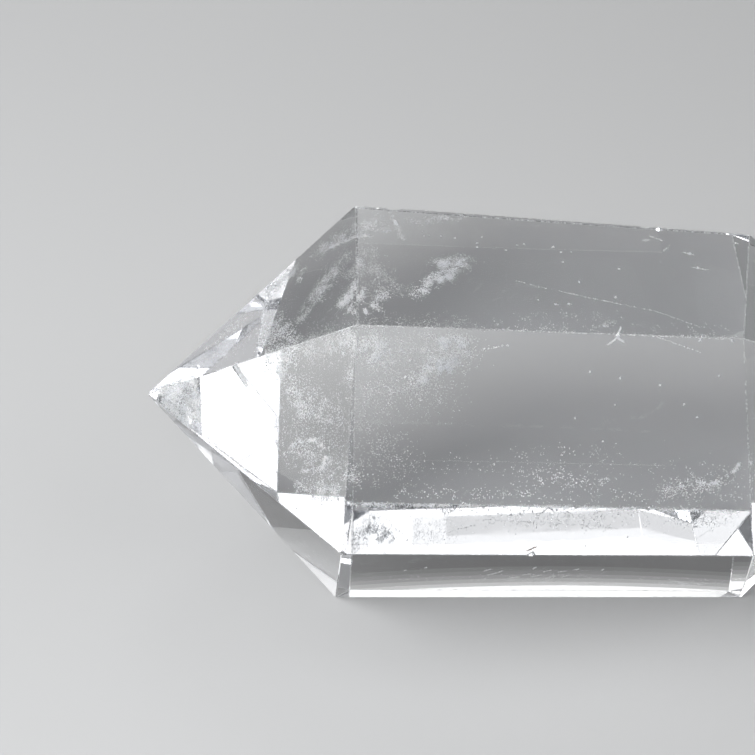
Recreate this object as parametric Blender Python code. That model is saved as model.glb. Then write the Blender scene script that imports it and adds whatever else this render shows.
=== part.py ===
"""Double terminated quartz crystal, lying on one of its six long faces.

The long axis runs along X and the crystal looks towards -Y. The origin is on the
ground, under the middle of the crystal. Sizes are in millimetres here and are turned
into metres as the mesh is made.
"""

import math
import random

import bmesh
import bpy
from mathutils import Vector

MM = 0.001

# Height of the long axis over the ground
AXIS_HEIGHT = 15.7

# The six long faces, in order around the axis. turn is the way a face looks, from the
# back (+Y) up towards the sky (+Z), and distance is from the axis at mid length. lean
# is how much the face closes in towards the right end: the crystal is slimmer there.
LONG_FACES = {
    "back_upper": {"turn": 31.7, "distance": 15.64, "lean": 4.15},
    "top": {"turn": 90.0, "distance": 15.8, "lean": 1.75},
    "front_upper": {"turn": 150.0, "distance": 15.0, "lean": 0.6},
    "front_lower": {"turn": 210.0, "distance": 15.5, "lean": 0.0},
    "bottom": {"turn": 270.0, "distance": AXIS_HEIGHT, "lean": 0.0},
    "back_lower": {"turn": 329.4, "distance": 14.37, "lean": 1.15},
}

# The two points. Six sloping faces run from each tip to the long faces, and shoulders
# are the places along X where each long edge, between one long face and the next,
# meets them. That gives slopes near quartz's own 38 degrees.
LEFT_TIP = (-36.05, 1.1, 16.8)
LEFT_SHOULDERS = (-17.0, -17.2, -18.3, -18.5, -17.0, -16.8)
RIGHT_TIP = (39.25, 2.2, 16.15)
RIGHT_SHOULDERS = (18.85, 14.6, 16.5, 20.5, 21.8, 20.2)

# Every edge is broken by a narrow flat
EDGE_FLAT = 0.05

# Chips on the edges: the two faces that meet there, the place along X, the radius of
# the bite and how deep it goes past the edge
CHIPS = (
    ("top", "front_upper", 4.05, 0.50, 0.20),
    ("top", "front_upper", 6.8, 0.36, 0.11),
    ("top", "front_upper", 10.9, 0.34, 0.09),
    ("top", "front_upper", 13.6, 0.30, 0.08),
    ("front_upper", "front_lower", -2.4, 0.55, 0.24),
    ("back_upper", "top", -16.8, 0.60, 0.34),
    ("back_upper", "top", -15.2, 0.70, 0.22),
    ("back_upper", "top", -13.5, 1.00, 0.34),
    ("back_upper", "top", 9.3, 0.80, 0.22),
    ("back_upper", "top", 18.6, 0.60, 0.26),
    ("front_lower", "bottom", 18.6, 0.60, 0.18),
    ("back_upper", "back_lower", -6.5, 0.80, 0.26),
    ("back_upper", "back_lower", 13.0, 0.60, 0.20),
    ("front_upper", "front_lower", -18.3, 0.60, 0.26),
    ("front_lower", "bottom", -18.5, 0.50, 0.20),
)

# The back lower edge is bruised along all its length, by small bites side by side.
# They are a step apart, plus a gap given in radii.
BRUISE_START = -14.5
BRUISE_END = 20.5
BRUISE_STEP = 1.25
BRUISE_GAP = (0.4, 1.2)
BRUISE_RADIUS = (0.30, 0.70)
BRUISE_DEPTH = (0.05, 0.17)
BRUISE_SEED = 11

# A bite is a rounded lump with an uneven surface
BITE_ROUNDS = 2
BITE_UNEVEN = 0.14
BITE_SEED = 5


def clear_scene():
    for obj in list(bpy.data.objects):
        bpy.data.objects.remove(obj, do_unlink=True)


def axis_direction(turn, tilt):
    """Unit vector at turn around the long axis, tilted towards +X by tilt degrees."""
    around = math.radians(turn)
    along = math.radians(tilt)
    return Vector((
        math.sin(along),
        math.cos(along) * math.cos(around),
        math.cos(along) * math.sin(around),
    ))


def long_planes():
    """The six long faces, as name: (outward direction, reach along it)."""
    middle = Vector((0.0, 0.0, AXIS_HEIGHT))
    planes = {}
    for name, face in LONG_FACES.items():
        outward = axis_direction(face["turn"], face["lean"])
        planes[name] = (outward, outward.dot(middle) + face["distance"])
    return planes


def edge_point(first, second, x):
    """Where two planes meet at x, found from their two equations in y and z."""
    out_a, reach_a = first
    out_b, reach_b = second
    left_a = reach_a - out_a.x * x
    left_b = reach_b - out_b.x * x
    det = out_a.y * out_b.z - out_a.z * out_b.y
    y = (left_a * out_b.z - left_b * out_a.z) / det
    z = (out_a.y * left_b - out_b.y * left_a) / det
    return Vector((x, y, z))


def shoulder_ring(bm, planes, places):
    """The six corners where the long faces end, in the order of the long edges."""
    faces = list(planes.values())
    following = faces[1:] + faces[:1]
    ring = []
    for first, second, x in zip(faces, following, places):
        ring.append(bm.verts.new(edge_point(first, second, x) * MM))
    return ring


def crystal_mesh(planes):
    """The closed faceted crystal, with a narrow flat along every edge."""
    bm = bmesh.new()
    left = shoulder_ring(bm, planes, LEFT_SHOULDERS)
    right = shoulder_ring(bm, planes, RIGHT_SHOULDERS)
    left_tip = bm.verts.new(Vector(LEFT_TIP) * MM)
    right_tip = bm.verts.new(Vector(RIGHT_TIP) * MM)
    for i, j in zip(range(-1, 5), range(6)):
        bm.faces.new((left[i], left[j], right[j], right[i]))
        bm.faces.new((left_tip, left[j], left[i]))
        bm.faces.new((right_tip, right[i], right[j]))
    bmesh.ops.recalc_face_normals(bm, faces=bm.faces[:])
    bmesh.ops.bevel(bm, geom=bm.edges[:], offset=EDGE_FLAT * MM, segments=1, affect="EDGES")
    mesh = bpy.data.meshes.new("quartz_crystal")
    bm.to_mesh(mesh)
    bm.free()
    return mesh


def bruise_chips():
    """Small bites along the back lower edge, in the same form as CHIPS."""
    rng = random.Random(BRUISE_SEED)
    chips = []
    x = BRUISE_START
    while x < BRUISE_END:
        radius = rng.uniform(*BRUISE_RADIUS)
        depth = rng.uniform(*BRUISE_DEPTH)
        chips.append(("bottom", "back_lower", x, radius, depth))
        x += BRUISE_STEP + radius * rng.uniform(*BRUISE_GAP)
    return chips


def add_bite(bm, rng, centre, radius):
    """One uneven lump, added to the cutter."""
    made = bmesh.ops.create_icosphere(bm, subdivisions=BITE_ROUNDS, radius=1.0)
    for vert in made["verts"]:
        spread = radius * (1.0 + rng.uniform(-BITE_UNEVEN, BITE_UNEVEN))
        vert.co = (centre + vert.co * spread) * MM


def bite_cutter(planes):
    """All the bites as one hidden cutter."""
    bm = bmesh.new()
    rng = random.Random(BITE_SEED)
    for first, second, x, radius, depth in list(CHIPS) + bruise_chips():
        edge = edge_point(planes[first], planes[second], x)
        out = (planes[first][0] + planes[second][0]).normalized()
        add_bite(bm, rng, edge + out * (radius - depth), radius)
    mesh = bpy.data.meshes.new("bites")
    bm.to_mesh(mesh)
    bm.free()
    cutter = bpy.data.objects.new("bites", mesh)
    bpy.context.scene.collection.objects.link(cutter)
    cutter.hide_render = True
    cutter.display_type = "WIRE"
    return cutter


def clear_quartz():
    """Colourless see-through quartz with polished faces."""
    material = bpy.data.materials.new("clear_quartz")
    material.use_nodes = True
    shader = material.node_tree.nodes["Principled BSDF"]
    shader.inputs["Base Color"].default_value = (0.97, 0.98, 0.99, 1.0)
    shader.inputs["Metallic"].default_value = 0.0
    shader.inputs["Roughness"].default_value = 0.03
    shader.inputs["IOR"].default_value = 1.544
    shader.inputs["Transmission Weight"].default_value = 1.0
    return material


def stand_on_origin(obj):
    """Puts the origin under the middle of the crystal, on the ground it lies on."""
    corners = [vert.co for vert in obj.data.vertices]
    low = Vector(min(c[i] for c in corners) for i in range(3))
    high = Vector(max(c[i] for c in corners) for i in range(3))
    middle = (low + high) / 2
    obj.location = (-middle.x, -middle.y, -low.z)


def quartz_crystal():
    planes = long_planes()
    crystal = bpy.data.objects.new("quartz_crystal", crystal_mesh(planes))
    bpy.context.scene.collection.objects.link(crystal)
    crystal.data.materials.append(clear_quartz())
    stand_on_origin(crystal)
    cutter = bite_cutter(planes)
    cutter.location = crystal.location
    chipping = crystal.modifiers.new("chips", "BOOLEAN")
    chipping.operation = "DIFFERENCE"
    chipping.solver = "EXACT"
    chipping.object = cutter
    return crystal


def main():
    clear_scene()
    quartz_crystal()


main()
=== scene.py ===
"""The looks of a double terminated quartz crystal that lies on a pale floor.

Sizes and places are in millimetres here, in the crystal's own frame, and are turned into
metres as objects are made. Directions are a turn around the crystal, from the back (+Y)
towards the right (+X), and a height over the horizon, both in degrees.
"""

import math
import random

import bmesh
import bpy
from mathutils import Euler, Matrix, Vector, noise
from mathutils.bvhtree import BVHTree


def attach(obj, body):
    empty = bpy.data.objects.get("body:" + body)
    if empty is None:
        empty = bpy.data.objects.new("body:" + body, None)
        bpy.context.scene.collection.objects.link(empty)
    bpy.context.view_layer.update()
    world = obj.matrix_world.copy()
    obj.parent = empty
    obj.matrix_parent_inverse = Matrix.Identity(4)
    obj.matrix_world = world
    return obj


MM = 0.001

# The camera, which looks down on the crystal from the front, and how near and how far
# it sees
CAMERA_PLACE = (-21.91, -97.03, 99.65)
CAMERA_TURN = 3.2
CAMERA_HEIGHT = -39.5
CAMERA_ROLL = 2.42
CAMERA_RANGE = (5.0, 4000.0)
FOCAL_LENGTH = 65.77
SENSOR_WIDTH = 36.0

# The floor, a square just under the crystal
FLOOR_HALF = 900.0
FLOOR_GAP = 0.03
FLOOR_COLOUR = (0.36, 0.363, 0.367)
FLOOR_ROUGHNESS = 0.75
FLOOR_GLOSS = 0.2

# Soft lights: the turn and height they come from, how far away they stand, their width,
# their length and how bright their surface is. They face LOOK_AT.
LIGHTS = {
    "key": (235.0, 44.0, 520.0, 340.0, 300.0, 13.2),
    "left_low": (251.0, 3.0, 170.0, 120.0, 30.0, 1.6),
}
LOOK_AT = (0.0, 0.0, 12.0)

# Low walls of light in front of the crystal and behind it, made of flat panels side by
# side: where a panel stands along Y, where it starts and ends across, where it starts
# and ends in height, how bright it is and how far its right end is raised, in degrees.
# The panels in front make the bright lower band and the white corner of the left point
# beside it. The dim ones among them grey the middle of that band. The numbered panels
# behind make the white foot of the lowest face, which fades as they get dimmer with
# height, and the last one whitens the very tip.
WALLS = {
    "front_low": (-400.0, -360.0, 280.0, 15.0, 27.0, 1.9, 0.0),
    "front_mid": (-400.0, -360.0, 280.0, 39.5, 71.0, 1.9, 0.0),
    "front_mid_left": (-400.0, -360.0, -184.0, 27.0, 39.5, 1.9, 0.0),
    "front_mid_soft": (-400.0, -184.0, -136.0, 27.0, 31.0, 1.4, 0.0),
    "front_mid_gap": (-400.0, -184.0, -136.0, 31.0, 39.5, 1.02, 0.0),
    "front_mid_right": (-400.0, -136.0, 280.0, 27.0, 39.5, 1.9, 0.0),
    "front_high": (-400.0, -360.0, 280.0, 83.0, 108.0, 1.9, 0.0),
    "front_corner": (-400.0, -360.0, -190.0, 108.0, 138.0, 1.9, 0.0),
    "front_left": (-400.0, -360.0, -60.0, 71.0, 83.0, 1.9, 0.0),
    "front_soft": (-400.0, -60.0, -46.0, 71.0, 83.0, 1.35, 0.0),
    "front_half": (-400.0, -46.0, 280.0, 71.0, 75.0, 1.3, 0.0),
    "front_dim": (-400.0, -46.0, 280.0, 75.0, 83.0, 0.95, 0.0),
    "behind_1": (200.0, -45.0, 105.0, 7.0, 16.0, 1.6, 7.0),
    "behind_2": (200.0, -45.0, 105.0, 16.0, 17.3, 0.68, 7.0),
    "behind_3": (200.0, -45.0, 105.0, 17.3, 18.6, 0.42, 7.0),
    "behind_4": (200.0, -45.0, 105.0, 18.6, 19.9, 0.25, 7.0),
    "behind_5": (200.0, -45.0, 105.0, 19.9, 21.2, 0.14, 7.0),
    "behind_6": (200.0, -45.0, 105.0, 21.2, 22.5, 0.07, 7.0),
    "behind_left": (200.0, -80.0, -25.0, 28.0, 44.0, 1.9, 0.0),
}

# The room: its brightness at the horizon and overhead, and the heights, as sines,
# between which the one turns into the other
ROOM_LOW = 0.03
ROOM_HIGH = 0.12
ROOM_RISE = (0.05, 0.45)

# Soft bright patches of the room: the turn and height of the middle, the angles from it
# at which a patch starts to fade and is gone, and its brightness
GLOWS = {
    "above": (276.0, 63.0, 9.0, 20.0, 3.0),
    "zenith": (0.0, 88.0, 7.0, 14.0, 2.6),
    "front_high": (168.0, 42.0, 6.0, 14.0, 2.6),
    "right": (72.0, 17.0, 8.0, 22.0, 0.9),
    "back_left": (324.0, 42.0, 5.0, 14.0, 1.1),
    "back_high": (350.0, 50.0, 5.0, 12.0, 0.9),
    "west": (280.0, 11.0, 7.0, 18.0, 3.0),
    "left": (242.0, 12.0, 8.0, 28.0, 1.6),
    "right_up": (98.0, 37.0, 10.0, 24.0, 1.9),
    "high_right": (99.0, 64.0, 5.0, 13.0, 1.5),
    "back": (12.0, 50.0, 5.0, 12.0, 3.2),
    "right_low": (113.0, 12.0, 5.0, 12.0, 2.2),
}

# Quartz swallows this density times what the tint lacks of white, per metre
QUARTZ_IOR = 1.544
QUARTZ_TINT = (0.60, 0.62, 0.66)
QUARTZ_DENSITY = 8.0

# The polish is uneven: a noise of this scale and detail, between these two levels, takes
# the roughness from the one value to the other
POLISH_SCALE = 160.0
POLISH_DETAIL = 4.0
POLISH_LEVELS = (0.45, 0.75)
POLISH_ROUGHNESS = (0.0, 0.035)

# The faces are not quite flat: the scale and detail of their waves, and how strong and
# how deep the waves are
WAVE_SCALE = 220.0
WAVE_DETAIL = 2.0
WAVE_STRENGTH = 0.02
WAVE_DEPTH = 0.02

# Flaws, and the white grains that paint light, are matt grains. Their colour and their
# roughness drift with a noise, each between two levels of it.
GRAIN_SCALE = 900.0
GRAIN_DETAIL = 3.0
GRAIN_COLOUR_LEVELS = (0.35, 0.65)
GRAIN_ROUGH_LEVELS = (0.3, 0.7)
GRAIN_ROUGHNESS = (0.35, 0.75)
WHITE_COLOURS = ((0.88, 0.90, 0.93), (0.97, 0.975, 0.98))
BROWN_COLOURS = ((0.10, 0.045, 0.02), (0.30, 0.16, 0.08))

# The places of the sockets of a Mix node that mixes colours: several share one name
MIX_FACTOR = 0
MIX_FIRST = 6
MIX_SECOND = 7
MIX_RESULT = 2

# Flaws, and the white grains that paint light, are named by the pixel of the square photo
# where they are seen, and lie some way further into the crystal, along the bent line of
# sight. They stop this far short of the far side.
PHOTO_SIZE = 755.0
FAR_GAP = 0.35

# Strokes of small white grains: flaws, and painted light in the groups at the tip and in
# the lowest face. A stroke runs from one pixel to another. Then come its depth, how far
# the grains spread around it, how many they are and how large. Each group is one piece,
# and its place in this list gives its random numbers.
STROKES = {
    # Crumbs along the ridges of the left point
    "ridge_crumbs": (
        (268, 325, 290, 372, 0.5, 0.72, 3800, 0.14),
        (276, 318, 296, 345, 0.9, 0.50, 1500, 0.13),
        (284, 372, 306, 418, 1.0, 0.40, 1500, 0.11),
        (226, 333, 245, 323, 0.5, 0.22, 420, 0.13),
        (205, 348, 225, 341, 0.5, 0.20, 260, 0.11),
        (262, 352, 284, 377, 0.3, 0.35, 1600, 0.11),
    ),
    # White grains at the very tip that paint the light it shows, and two thin streaks of them
    # that paint light over darker lines in the white face beside it
    "apex_painted_light": (
        (160, 392, 198, 380, 0.35, 0.30, 1700, 0.11),
        (160, 393, 199, 401, 0.35, 0.45, 2200, 0.11),
        (168, 400, 199, 420, 0.35, 0.35, 2200, 0.11),
        (163, 402, 190, 425, 0.35, 0.22, 1700, 0.11),
        (193, 379, 199, 420, 0.35, 0.20, 900, 0.11),
        (236, 364, 247, 386, 0.3, 0.13, 1200, 0.12),
        (205, 435, 248, 472, 0.3, 0.07, 500, 0.10),
    ),
    # Haze in the rest of the point. The last five strokes make a curl.
    "point_haze": (
        (205, 362, 285, 300, 1.2, 1.00, 4200, 0.06),
        (212, 344, 262, 298, 0.6, 0.35, 1800, 0.08),
        (180, 381, 245, 332, 0.7, 0.60, 3600, 0.08),
        (270, 292, 295, 268, 0.8, 0.40, 2600, 0.10),
        (299, 280, 303, 268, 2.0, 0.22, 600, 0.10),
        (300, 352, 340, 345, 2.0, 0.80, 2600, 0.09),
        (290, 395, 335, 420, 2.0, 1.00, 4200, 0.10),
        (290, 440, 335, 470, 3.0, 1.00, 4200, 0.10),
        (295, 488, 342, 492, 1.0, 0.35, 1800, 0.11),
        (285, 455, 297, 442, 2.4, 0.12, 420, 0.10),
        (297, 442, 315, 440, 2.4, 0.12, 460, 0.10),
        (315, 440, 328, 452, 2.4, 0.12, 460, 0.10),
        (328, 452, 322, 468, 2.4, 0.12, 420, 0.10),
        (322, 468, 300, 472, 2.4, 0.12, 420, 0.10),
    ),
    # Smoke-like wisps around the upper left shoulder
    "smoky_wisps": (
        (330, 270, 300, 320, 5.0, 0.35, 3000, 0.09),
        (345, 255, 318, 300, 6.5, 0.45, 2600, 0.09),
        (340, 305, 357, 288, 4.0, 0.25, 1600, 0.10),
        (361, 300, 367, 314, 2.0, 0.10, 520, 0.10),
        (357, 327, 364, 334, 0.3, 0.10, 520, 0.09),
        (311, 256, 354, 237, 3.0, 0.12, 1500, 0.09),
        (354, 237, 390, 231, 3.0, 0.14, 1000, 0.09),
        (318, 252, 380, 224, 1.6, 0.50, 4200, 0.08),
        (376, 214, 376, 223, 0.8, 0.07, 360, 0.09),
        (390, 212, 397, 225, 0.8, 0.10, 800, 0.10),
        (397, 225, 403, 240, 1.2, 0.16, 420, 0.08),
        (405, 222, 460, 217, 2.0, 0.26, 1700, 0.09),
        (365, 262, 395, 292, 5.0, 0.70, 2400, 0.08),
    ),
    # Glittering haze in the front face: right of the point, and at the right end
    "sparkling_haze": (
        (362, 345, 386, 362, 2.0, 0.42, 2000, 0.11),
        (358, 350, 470, 352, 3.0, 0.95, 4200, 0.09),
        (360, 388, 450, 396, 4.0, 0.90, 2600, 0.09),
        (352, 410, 400, 470, 6.0, 1.20, 1600, 0.09),
        (350, 478, 372, 482, 2.0, 0.25, 420, 0.11),
        (700, 483, 714, 483, 4.0, 0.12, 420, 0.10),
        (714, 483, 736, 471, 4.0, 0.10, 700, 0.10),
        (736, 471, 751, 463, 4.0, 0.10, 500, 0.10),
        (660, 490, 700, 488, 4.0, 0.45, 700, 0.10),
    ),
    # Rows of dots, and short scratches in the top face
    "dotted_lines": (
        (513, 280, 540, 287, 5.0, 0.03, 30, 0.11),
        (540, 287, 605, 301, 5.0, 0.03, 80, 0.11),
        (605, 301, 655, 311, 5.0, 0.03, 64, 0.11),
        (655, 311, 700, 327, 5.0, 0.03, 56, 0.11),
        (475, 350, 510, 345, 3.0, 0.06, 34, 0.13),
        (643, 240, 649, 240, 1.0, 0.08, 40, 0.10),
        (650, 236, 663, 241, 1.0, 0.05, 90, 0.09),
        (664, 251, 669, 246, 1.0, 0.06, 34, 0.10),
        (683, 252, 694, 255, 1.5, 0.05, 50, 0.10),
        (691, 267, 708, 270, 1.5, 0.05, 50, 0.10),
    ),
    # Short bright streaks in the lowest face: white grains that paint its glints
    "front_painted_glints": (
        (484, 571, 491, 569, 0.3, 0.05, 60, 0.13),
        (488, 575, 496, 573, 0.3, 0.05, 60, 0.13),
        (497, 573, 502, 571, 0.3, 0.05, 40, 0.13),
        (509, 578, 519, 577, 0.3, 0.05, 70, 0.13),
        (522, 575, 530, 574, 0.3, 0.05, 60, 0.13),
        (533, 569, 536, 567, 0.3, 0.05, 30, 0.13),
        (531, 577, 541, 575, 0.3, 0.05, 70, 0.13),
        (543, 572, 551, 570, 0.3, 0.05, 60, 0.13),
        (546, 578, 555, 576, 0.3, 0.05, 60, 0.13),
        (558, 572, 566, 571, 0.3, 0.05, 50, 0.13),
        (562, 577, 569, 575, 0.3, 0.05, 50, 0.13),
        (573, 570, 579, 569, 0.3, 0.05, 40, 0.13),
        (602, 570, 604, 569, 0.3, 0.05, 24, 0.13),
        (425, 568, 427, 567, 0.3, 0.05, 20, 0.13),
        (404, 571, 406, 570, 0.3, 0.05, 20, 0.13),
    ),
    # Crumbs along the upper rim of the bright band
    "band_crumbs": (
        (350, 504, 460, 506, 0.25, 0.09, 2200, 0.10),
        (460, 506, 600, 508, 0.25, 0.08, 1600, 0.10),
        (600, 508, 740, 512, 0.25, 0.08, 1400, 0.10),
    ),
    # The star-shaped nick on the upper front ridge, and the scratches beside it
    "star_mark": (
        (617, 337, 608, 345, 0.12, 0.035, 260, 0.09),
        (617, 337, 621, 327, 0.12, 0.035, 260, 0.09),
        (617, 337, 624, 342, 0.12, 0.035, 220, 0.09),
        (603, 326, 608, 326, 0.6, 0.06, 60, 0.09),
        (594, 328, 616, 321, 0.6, 0.08, 60, 0.08),
    ),
}
STROKE_SEED = 100

# The groups that are not thinned into wisps
EVEN_STROKES = ("apex_painted_light", "dotted_lines", "front_painted_glints", "star_mark")

# Veils: healed cracks that are seen through more than one face, so they are placed in
# the crystal itself. From one point to another, then as in STROKES but with no depth.
VEILS = (
    ((-11.1, 9.1, 18.2), (-7.9, 10.8, 16.2), 0.42, 2600, 0.11),
    ((-13.4, 5.8, 15.9), (-8.9, 10.5, 15.3), 0.42, 4200, 0.11),
    ((-11.7, 7.4, 17.0), (-9.7, 9.6, 14.8), 0.35, 1600, 0.11),
    ((-17.4, -3.2, 27.0), (-16.9, -2.2, 26.6), 0.30, 1000, 0.11),
    ((-16.9, 0.0, 24.6), (-16.3, 1.5, 22.8), 0.30, 1200, 0.10),
)
VEIL_SEED = 11

# Frost along the bruised lower back edge, in the same form as VEILS
FRINGE = (
    ((-14.5, 8.1, 0.8), (19.5, 7.7, 0.8), 0.40, 5200, 0.13),
    ((-2.5, 8.8, 2.1), (6.5, 8.8, 2.1), 0.60, 3200, 0.13),
    ((12.5, 8.4, 2.1), (18.0, 8.2, 2.1), 0.60, 2200, 0.13),
    ((-14.5, 9.6, 3.2), (19.5, 9.2, 3.2), 0.60, 2600, 0.11),
    ((-3.5, 9.8, 4.6), (7.5, 9.8, 4.6), 0.40, 500, 0.12),
)
FRINGE_SEED = 12

# Single bright specks: pixel, depth and size. A speck is made of a few grains, and how
# far they spread and how large they are is given in sizes of the speck.
SPECKS = (
    (422, 231, 2.0, 0.18), (424, 236, 2.0, 0.18), (429, 235, 3.0, 0.18), (441, 236, 3.0, 0.20),
    (455, 238, 4.0, 0.18), (477, 243, 2.0, 0.22), (477, 247, 5.0, 0.18), (482, 237, 3.0, 0.18),
    (506, 250, 2.0, 0.22), (517, 245, 4.0, 0.20), (524, 244, 2.0, 0.20), (553, 247, 3.0, 0.25),
    (561, 252, 2.0, 0.20), (563, 262, 5.0, 0.20), (571, 252, 3.0, 0.20), (619, 269, 4.0, 0.22),
    (556, 304, 3.0, 0.30), (569, 304, 3.0, 0.28), (579, 282, 4.0, 0.25), (615, 297, 3.0, 0.28),
    # The two larger specks at (690, 254) and (698, 268) are painted glints
    (538, 300, 3.0, 0.22), (690, 254, 1.5, 0.33), (698, 268, 1.5, 0.33), (330, 349, 2.0, 0.22),
    (343, 353, 2.0, 0.22), (391, 355, 3.0, 0.22), (410, 360, 3.0, 0.20), (405, 377, 4.0, 0.20),
    (365, 388, 2.0, 0.22), (620, 378, 4.0, 0.20), (660, 385, 3.0, 0.20), (719, 376, 3.0, 0.20),
    (590, 372, 5.0, 0.18), (615, 405, 4.0, 0.18), (575, 418, 5.0, 0.18), (603, 441, 6.0, 0.18),
    (562, 455, 6.0, 0.18), (684, 404, 4.0, 0.18), (697, 417, 5.0, 0.18), (700, 340, 0.3, 0.20),
    (732, 341, 0.3, 0.20), (736, 243, 1.0, 0.24), (309, 556, 1.0, 0.18), (318, 566, 1.0, 0.18),
    (322, 573, 1.5, 0.15),
)
SPECK_FLAKES = 12
SPECK_SPREAD = 0.22
SPECK_SIZES = (0.4, 0.8)
SPECK_SEED = 31

# A brown grain on the front ridge, in the same form as a stroke
BROWN_GRAIN = (527, 551, 536, 547, 0.08, 0.05, 110, 0.09)
BROWN_SEED = 41

# Wisps: flaws are left out where a drifting noise is low. The levels are those between
# which flaws go from none to all. A finer noise is added to the first: how many times
# finer it is, and its weight.
WISP_SCALE = 1.1
WISP_LEVELS = (-0.20, 0.25)
WISP_FINER = 3.1
WISP_FINER_WEIGHT = 0.5

# Which edges get wear and a painted highlight: the shortest, and the least angle between
# their faces in degrees
EDGE_LEAST = 1.2
EDGE_SHARP = 5.0

# Wear on the edges, which also paints their highlight as a white line: the length of edge
# to a mark, the size of the marks and how deep they lie, in skins. The marks come in runs,
# kept where a noise of this scale, made ragged by chance, is over the level.
WEAR_AND_HIGHLIGHT_STEP = 0.05
WEAR_AND_HIGHLIGHT_SIZE = 0.065
WEAR_AND_HIGHLIGHT_DEPTH = (1.2, 2.5)
WEAR_AND_HIGHLIGHT_SCALE = 2.3
WEAR_AND_HIGHLIGHT_RAGGED = 0.3
WEAR_AND_HIGHLIGHT_LEVEL = -0.10
WEAR_AND_HIGHLIGHT_SEED = 51

# Frost in the chips: facets up to this area, in square millimetres, belong to a chip.
# Then come the grains per square millimetre, their size and how deep they lie, in skins.
CHIP_AREA = 0.09
FROST_PER_AREA = 110.0
FROST_SIZE = 0.07
FROST_DEPTH = (1.2, 2.0)

# Flaws keep this far inside the surface, and corners closer together than this are one
SKIN = 0.02
SAME_CORNER = 0.001

# A flake's six corners, before it is turned and stretched, and its eight faces. Then how
# much a corner is stretched, and the sizes of flakes next to the size that is asked for.
FLAKE_CORNERS = ((1, 0, 0), (0, 1, 0), (-1, 0, 0), (0, -1, 0), (0, 0, 0.45), (0, 0, -0.45))
FLAKE_FACES = (
    (0, 1, 4), (1, 2, 4), (2, 3, 4), (3, 0, 4), (1, 0, 5), (2, 1, 5), (3, 2, 5), (0, 3, 5),
)
FLAKE_STRETCH = (0.6, 1.3)
FLAKE_SIZES = (0.5, 1.3)

# How often light may turn before it is given up
MOST_BOUNCES = 24
MOST_REFLECTIONS = 16


def direction(turn, height):
    """Unit vector towards a turn and a height."""
    around = math.radians(turn)
    up = math.radians(height)
    return Vector((
        math.sin(around) * math.cos(up),
        math.cos(around) * math.cos(up),
        math.sin(up),
    ))


def add_object(name, data):
    obj = bpy.data.objects.new(name, data)
    bpy.context.scene.collection.objects.link(obj)
    return obj


def add_camera():
    camera = add_object("camera", bpy.data.cameras.new("camera"))
    camera.data.lens = FOCAL_LENGTH
    camera.data.sensor_width = SENSOR_WIDTH
    camera.data.clip_start = CAMERA_RANGE[0] * MM
    camera.data.clip_end = CAMERA_RANGE[1] * MM
    ahead = direction(CAMERA_TURN, CAMERA_HEIGHT)
    aim = ahead.to_track_quat("-Z", "Y").to_matrix().to_4x4()
    roll = Matrix.Rotation(math.radians(CAMERA_ROLL), 4, "Z")
    camera.matrix_world = Matrix.Translation(Vector(CAMERA_PLACE) * MM) @ aim @ roll
    bpy.context.scene.camera = camera
    return camera


def add_panel(name, width, length, brightness):
    """A flat light whose surface has this brightness. The camera doesn't see it."""
    light = bpy.data.lights.new(name, "AREA")
    light.shape = "RECTANGLE"
    light.size = width * MM
    light.size_y = length * MM
    light.energy = brightness * math.pi * light.size * light.size_y
    panel = add_object(name, light)
    panel.visible_camera = False
    return panel


def add_lights():
    """Large soft lights that face the crystal."""
    for name, (turn, height, away, width, length, brightness) in LIGHTS.items():
        panel = add_panel(name, width, length, brightness)
        toward = direction(turn, height)
        panel.location = (Vector(LOOK_AT) + toward * away) * MM
        panel.rotation_euler = toward.to_track_quat("Z", "Y").to_euler()


def add_walls():
    """Upright panels that face the crystal from the front or from behind."""
    for name, (away, left, right, low, high, brightness, tilt) in WALLS.items():
        panel = add_panel(name, right - left, high - low, brightness)
        panel.location = Vector(((left + right) / 2, away, (low + high) / 2)) * MM
        quarter = math.copysign(math.radians(90.0), -away)
        facing = Euler((quarter, 0.0, 0.0)).to_matrix()
        tilted = Matrix.Rotation(math.radians(-tilt), 3, "Y") @ facing
        panel.rotation_euler = tilted.to_euler()


def node_maker(tree):
    """Returns a function that adds a node, with its settings and its inputs."""

    def make(kind, settings=None, **values):
        node = tree.nodes.new(kind)
        for key, value in (settings or {}).items():
            setattr(node, key, value)
        for key, value in values.items():
            socket = node.inputs[key.replace("_", " ")]
            if isinstance(value, bpy.types.NodeSocket):
                tree.links.new(value, socket)
            else:
                socket.default_value = value
        return node

    return make


def smooth_ramp(make, value, start, end, low, high):
    """A socket that goes smoothly from low to high as value goes from start to end."""
    ramp = make("ShaderNodeMapRange", {"interpolation_type": "SMOOTHSTEP"}, Value=value)
    ramp.inputs["From Min"].default_value = start
    ramp.inputs["From Max"].default_value = end
    ramp.inputs["To Min"].default_value = low
    ramp.inputs["To Max"].default_value = high
    return ramp.outputs["Result"]


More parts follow.
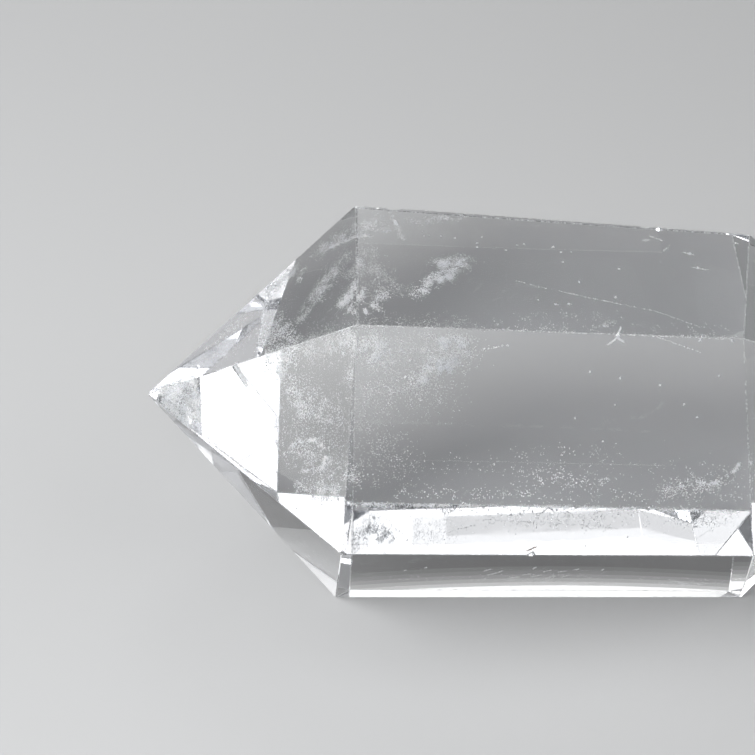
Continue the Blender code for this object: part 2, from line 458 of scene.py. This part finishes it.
def add_room():
    """A grey room, brighter overhead than at the horizon, with soft bright patches."""
    world = bpy.data.worlds.new("room")
    world.use_nodes = True
    bpy.context.scene.world = world
    tree = world.node_tree
    tree.nodes.clear()
    make = node_maker(tree)
    where = make("ShaderNodeTexCoord").outputs["Generated"]
    parts = make("ShaderNodeSeparateXYZ", Vector=where)
    bright = smooth_ramp(make, parts.outputs["Z"], *ROOM_RISE, ROOM_LOW, ROOM_HIGH)
    for turn, height, inner, outer, brightness in GLOWS.values():
        near = make("ShaderNodeVectorMath", {"operation": "DOT_PRODUCT"})
        tree.links.new(where, near.inputs[0])
        near.inputs[1].default_value = direction(turn, height)
        fade = (math.cos(math.radians(outer)), math.cos(math.radians(inner)))
        glow = smooth_ramp(make, near.outputs["Value"], *fade, 0.0, brightness)
        total = make("ShaderNodeMath", {"operation": "ADD"})
        tree.links.new(bright, total.inputs[0])
        tree.links.new(glow, total.inputs[1])
        bright = total.outputs["Value"]
    shade = make("ShaderNodeBackground", Strength=bright)
    out = make("ShaderNodeOutputWorld")
    tree.links.new(shade.outputs["Background"], out.inputs["Surface"])


def floor_material():
    material = bpy.data.materials.new("floor")
    material.use_nodes = True
    shader = material.node_tree.nodes["Principled BSDF"]
    shader.inputs["Base Color"].default_value = (*FLOOR_COLOUR, 1.0)
    shader.inputs["Roughness"].default_value = FLOOR_ROUGHNESS
    shader.inputs["Specular IOR Level"].default_value = FLOOR_GLOSS
    return material


def add_floor():
    bm = bmesh.new()
    bmesh.ops.create_grid(bm, x_segments=1, y_segments=1, size=FLOOR_HALF * MM)
    mesh = bpy.data.meshes.new("floor")
    bm.to_mesh(mesh)
    bm.free()
    floor = add_object("floor", mesh)
    floor.location.z = -FLOOR_GAP * MM
    mesh.materials.append(floor_material())


def quartz_material():
    """Clear polished quartz, a little uneven in polish and in its faces."""
    material = bpy.data.materials.new("clear_quartz")
    material.use_nodes = True
    tree = material.node_tree
    make = node_maker(tree)
    shader = tree.nodes["Principled BSDF"]
    shader.inputs["Base Color"].default_value = (1.0, 1.0, 1.0, 1.0)
    shader.inputs["IOR"].default_value = QUARTZ_IOR
    shader.inputs["Transmission Weight"].default_value = 1.0
    place = make("ShaderNodeTexCoord").outputs["Object"]
    polish = make("ShaderNodeTexNoise", Vector=place, Scale=POLISH_SCALE, Detail=POLISH_DETAIL)
    rough = smooth_ramp(make, polish.outputs["Fac"], *POLISH_LEVELS, *POLISH_ROUGHNESS)
    tree.links.new(rough, shader.inputs["Roughness"])
    waves = make("ShaderNodeTexNoise", Vector=place, Scale=WAVE_SCALE, Detail=WAVE_DETAIL)
    bump = make("ShaderNodeBump", Height=waves.outputs["Fac"], Strength=WAVE_STRENGTH)
    bump.inputs["Distance"].default_value = WAVE_DEPTH * MM
    tree.links.new(bump.outputs["Normal"], shader.inputs["Normal"])
    absorb = make("ShaderNodeVolumeAbsorption", Density=QUARTZ_DENSITY)
    absorb.inputs["Color"].default_value = (*QUARTZ_TINT, 1.0)
    tree.links.new(absorb.outputs["Volume"], tree.nodes["Material Output"].inputs["Volume"])
    return material


def flaw_and_painted_light_material(name, dark, light):
    """Matt grains whose colour drifts from dark to light."""
    material = bpy.data.materials.new(name)
    material.use_nodes = True
    tree = material.node_tree
    make = node_maker(tree)
    shader = tree.nodes["Principled BSDF"]
    place = make("ShaderNodeTexCoord").outputs["Object"]
    drift = make("ShaderNodeTexNoise", Vector=place, Scale=GRAIN_SCALE, Detail=GRAIN_DETAIL)
    mix = make("ShaderNodeMix", {"data_type": "RGBA"})
    share = smooth_ramp(make, drift.outputs["Fac"], *GRAIN_COLOUR_LEVELS, 0.0, 1.0)
    tree.links.new(share, mix.inputs[MIX_FACTOR])
    mix.inputs[MIX_FIRST].default_value = (*dark, 1.0)
    mix.inputs[MIX_SECOND].default_value = (*light, 1.0)
    tree.links.new(mix.outputs[MIX_RESULT], shader.inputs["Base Color"])
    rough = smooth_ramp(make, drift.outputs["Fac"], *GRAIN_ROUGH_LEVELS, *GRAIN_ROUGHNESS)
    tree.links.new(rough, shader.inputs["Roughness"])
    return material


def dress_crystal(crystal):
    crystal.data.materials.clear()
    crystal.data.materials.append(quartz_material())


def crystal_tree(crystal):
    """The crystal's surface, in millimetres, for finding where lines meet it."""
    mesh = crystal.data
    corners = [vert.co / MM for vert in mesh.vertices]
    return BVHTree.FromPolygons(corners, [tuple(face.vertices) for face in mesh.polygons])


def inside(tree, point):
    """True if a point is in the crystal, and deeper than its skin."""
    near, out, _, _ = tree.find_nearest(point)
    return (point - near).dot(out) < -SKIN


def bent(ray, out, ratio):
    """The direction of a ray after it passes into the crystal."""
    cosine = -ray.dot(out)
    inner = math.sqrt(1.0 - ratio * ratio * (1.0 - cosine * cosine))
    return (ray * ratio + out * (ratio * cosine - inner)).normalized()


def seen_at(camera, tree, across, down, depth):
    """The point in the crystal that is seen at a pixel of the photo."""
    focal = FOCAL_LENGTH / SENSOR_WIDTH * PHOTO_SIZE
    half = PHOTO_SIZE / 2
    ray = Vector(((across - half) / focal, (half - down) / focal, -1.0))
    ray = (camera.matrix_world.to_3x3() @ ray).normalized()
    start, out, _, _ = tree.ray_cast(Vector(CAMERA_PLACE), ray)
    inward = bent(ray, out, 1.0 / QUARTZ_IOR)
    _, _, _, room = tree.ray_cast(start + inward * SKIN, inward)
    return start + inward * min(depth, room - FAR_GAP)


def astray(rng, spread):
    """A random step to any side."""
    return Vector(rng.gauss(0.0, spread) for _ in range(3))


def scatter(rng, tree, start, end, spread, count, even):
    """Points in the crystal around a line, thinned into wisps unless they are even."""
    points = []
    low, high = WISP_LEVELS
    for _ in range(count):
        around = astray(rng, spread)
        point = start.lerp(end, rng.random()) + around
        level = noise.noise(point * WISP_SCALE)
        level += WISP_FINER_WEIGHT * noise.noise(point * WISP_SCALE * WISP_FINER)
        kept = even or rng.random() < (level - low) / (high - low)
        if kept and inside(tree, point):
            points.append(point)
    return points


def sizes_for(rng, points, size):
    return [size * rng.uniform(*FLAKE_SIZES) for _ in points]


def add_flakes(name, rng, points, sizes, material):
    """One piece of many small closed flakes, each a flattened eight-sided grain."""
    corners = []
    faces = []
    for point, size in zip(points, sizes):
        turn = Euler([rng.uniform(0.0, math.tau) for _ in range(3)]).to_matrix()
        first = len(corners)
        for spot in FLAKE_CORNERS:
            reach = size / 2 * rng.uniform(*FLAKE_STRETCH)
            corners.append((point + turn @ Vector(spot) * reach) * MM)
        faces.extend([tuple(first + i for i in face) for face in FLAKE_FACES])
    mesh = bpy.data.meshes.new(name)
    mesh.from_pydata(corners, [], faces)
    mesh.materials.append(material)
    piece = add_object(name, mesh)
    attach(piece, "root")


def add_lines(name, seed, lines, tree, white, even=False):
    """One piece of white grains along lines whose ends are given in the crystal itself. They
    are flaws, except in the stroke groups that paint light.
    """
    rng = random.Random(seed)
    points = []
    sizes = []
    for start, end, spread, count, size in lines:
        more = scatter(rng, tree, Vector(start), Vector(end), spread, count, even)
        points += more
        sizes += sizes_for(rng, more, size)
    add_flakes(name, rng, points, sizes, white)


def add_strokes(camera, tree, white):
    """The groups of STROKES, one piece each."""
    for number, (name, strokes) in enumerate(STROKES.items()):
        lines = []
        for x0, y0, x1, y1, depth, spread, count, size in strokes:
            start = seen_at(camera, tree, x0, y0, depth)
            end = seen_at(camera, tree, x1, y1, depth)
            lines.append((start, end, spread, count, size))
        add_lines(name, STROKE_SEED + number, lines, tree, white, name in EVEN_STROKES)


def add_specks(camera, tree, white):
    rng = random.Random(SPECK_SEED)
    points = []
    sizes = []
    for across, down, depth, size in SPECKS:
        middle = seen_at(camera, tree, across, down, depth)
        for _ in range(SPECK_FLAKES):
            point = middle + astray(rng, size * SPECK_SPREAD)
            if inside(tree, point):
                points.append(point)
                sizes.append(size * rng.uniform(*SPECK_SIZES))
    add_flakes("specks", rng, points, sizes, white)


def add_brown_grain(camera, tree):
    rng = random.Random(BROWN_SEED)
    x0, y0, x1, y1, depth, spread, count, size = BROWN_GRAIN
    start = seen_at(camera, tree, x0, y0, depth)
    end = seen_at(camera, tree, x1, y1, depth)
    points = []
    for _ in range(count):
        point = start.lerp(end, rng.random()) + astray(rng, spread)
        if inside(tree, point):
            points.append(point)
    brown = flaw_and_painted_light_material("brown_grain", *BROWN_COLOURS)
    add_flakes("brown_grain", rng, points, sizes_for(rng, points, size), brown)


def wear_and_highlight_places(crystal, rng):
    """Points along the crystal's long sharp edges, in broken runs, for wear and a painted
    highlight.
    """
    bm = bmesh.new()
    bm.from_mesh(crystal.data)
    bmesh.ops.remove_doubles(bm, verts=bm.verts[:], dist=SAME_CORNER * MM)
    bm.normal_update()
    points = []
    for edge in bm.edges:
        sharp = edge.is_manifold and math.degrees(edge.calc_face_angle()) > EDGE_SHARP
        length = edge.calc_length() / MM
        if not sharp or length < EDGE_LEAST:
            continue
        start, end = (vert.co / MM for vert in edge.verts)
        outward = (edge.link_faces[0].normal + edge.link_faces[1].normal).normalized()
        inward = outward * -SKIN
        for _ in range(int(length / WEAR_AND_HIGHLIGHT_STEP)):
            point = start.lerp(end, rng.random())
            level = noise.noise(point * WEAR_AND_HIGHLIGHT_SCALE) + rng.uniform(-WEAR_AND_HIGHLIGHT_RAGGED, WEAR_AND_HIGHLIGHT_RAGGED)
            if level > WEAR_AND_HIGHLIGHT_LEVEL:
                points.append(point + inward * rng.uniform(*WEAR_AND_HIGHLIGHT_DEPTH))
    bm.free()
    return points


def chipped_places(crystal, rng):
    """Points on the small facets of the chips, just under the surface."""
    points = []
    mesh = crystal.data
    for face in mesh.polygons:
        area = face.area / (MM * MM)
        if area > CHIP_AREA:
            continue
        a, b, c = (mesh.vertices[i].co / MM for i in face.vertices[:3])
        for _ in range(int(area * FROST_PER_AREA + rng.random())):
            along, over = sorted((rng.random(), rng.random()))
            point = a * along + b * (over - along) + c * (1.0 - over)
            points.append(point - face.normal * SKIN * rng.uniform(*FROST_DEPTH))
    return points


def add_wear_and_edge_highlights(crystal, tree, white):
    """Broken light lines on the sharp edges, partly wear and partly a painted highlight, and
    frost in the chips.
    """
    rng = random.Random(WEAR_AND_HIGHLIGHT_SEED)
    wear_and_highlights = [p for p in wear_and_highlight_places(crystal, rng) if inside(tree, p)]
    add_flakes("edge_wear_and_highlight", rng, wear_and_highlights, sizes_for(rng, wear_and_highlights, WEAR_AND_HIGHLIGHT_SIZE), white)
    frosted = [p for p in chipped_places(crystal, rng) if inside(tree, p)]
    add_flakes("chip_frost", rng, frosted, sizes_for(rng, frosted, FROST_SIZE), white)


def add_flaws_and_painted_light(camera, crystal):
    bpy.context.view_layer.update()
    tree = crystal_tree(crystal)
    white = flaw_and_painted_light_material("white_flaws_and_painted_light", *WHITE_COLOURS)
    add_strokes(camera, tree, white)
    add_lines("veils", VEIL_SEED, VEILS, tree, white)
    add_lines("lower_fringe", FRINGE_SEED, FRINGE, tree, white)
    add_specks(camera, tree, white)
    add_brown_grain(camera, tree)
    add_wear_and_edge_highlights(crystal, tree, white)


def set_look():
    """Plain colours, and enough bounces for light to find its way out of the crystal."""
    scene = bpy.context.scene
    scene.view_settings.view_transform = "Standard"
    scene.cycles.max_bounces = MOST_BOUNCES
    scene.cycles.transmission_bounces = MOST_BOUNCES
    scene.cycles.glossy_bounces = MOST_REFLECTIONS


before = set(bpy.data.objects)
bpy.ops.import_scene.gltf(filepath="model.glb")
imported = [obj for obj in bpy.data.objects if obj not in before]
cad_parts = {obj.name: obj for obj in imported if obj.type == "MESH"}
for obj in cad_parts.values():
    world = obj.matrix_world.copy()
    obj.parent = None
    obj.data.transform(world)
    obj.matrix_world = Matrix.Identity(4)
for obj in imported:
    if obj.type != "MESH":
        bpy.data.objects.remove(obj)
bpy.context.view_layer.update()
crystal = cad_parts["quartz_crystal"]
camera = add_camera()
add_room()
add_lights()
add_walls()
add_floor()
dress_crystal(crystal)
add_flaws_and_painted_light(camera, crystal)
set_look()
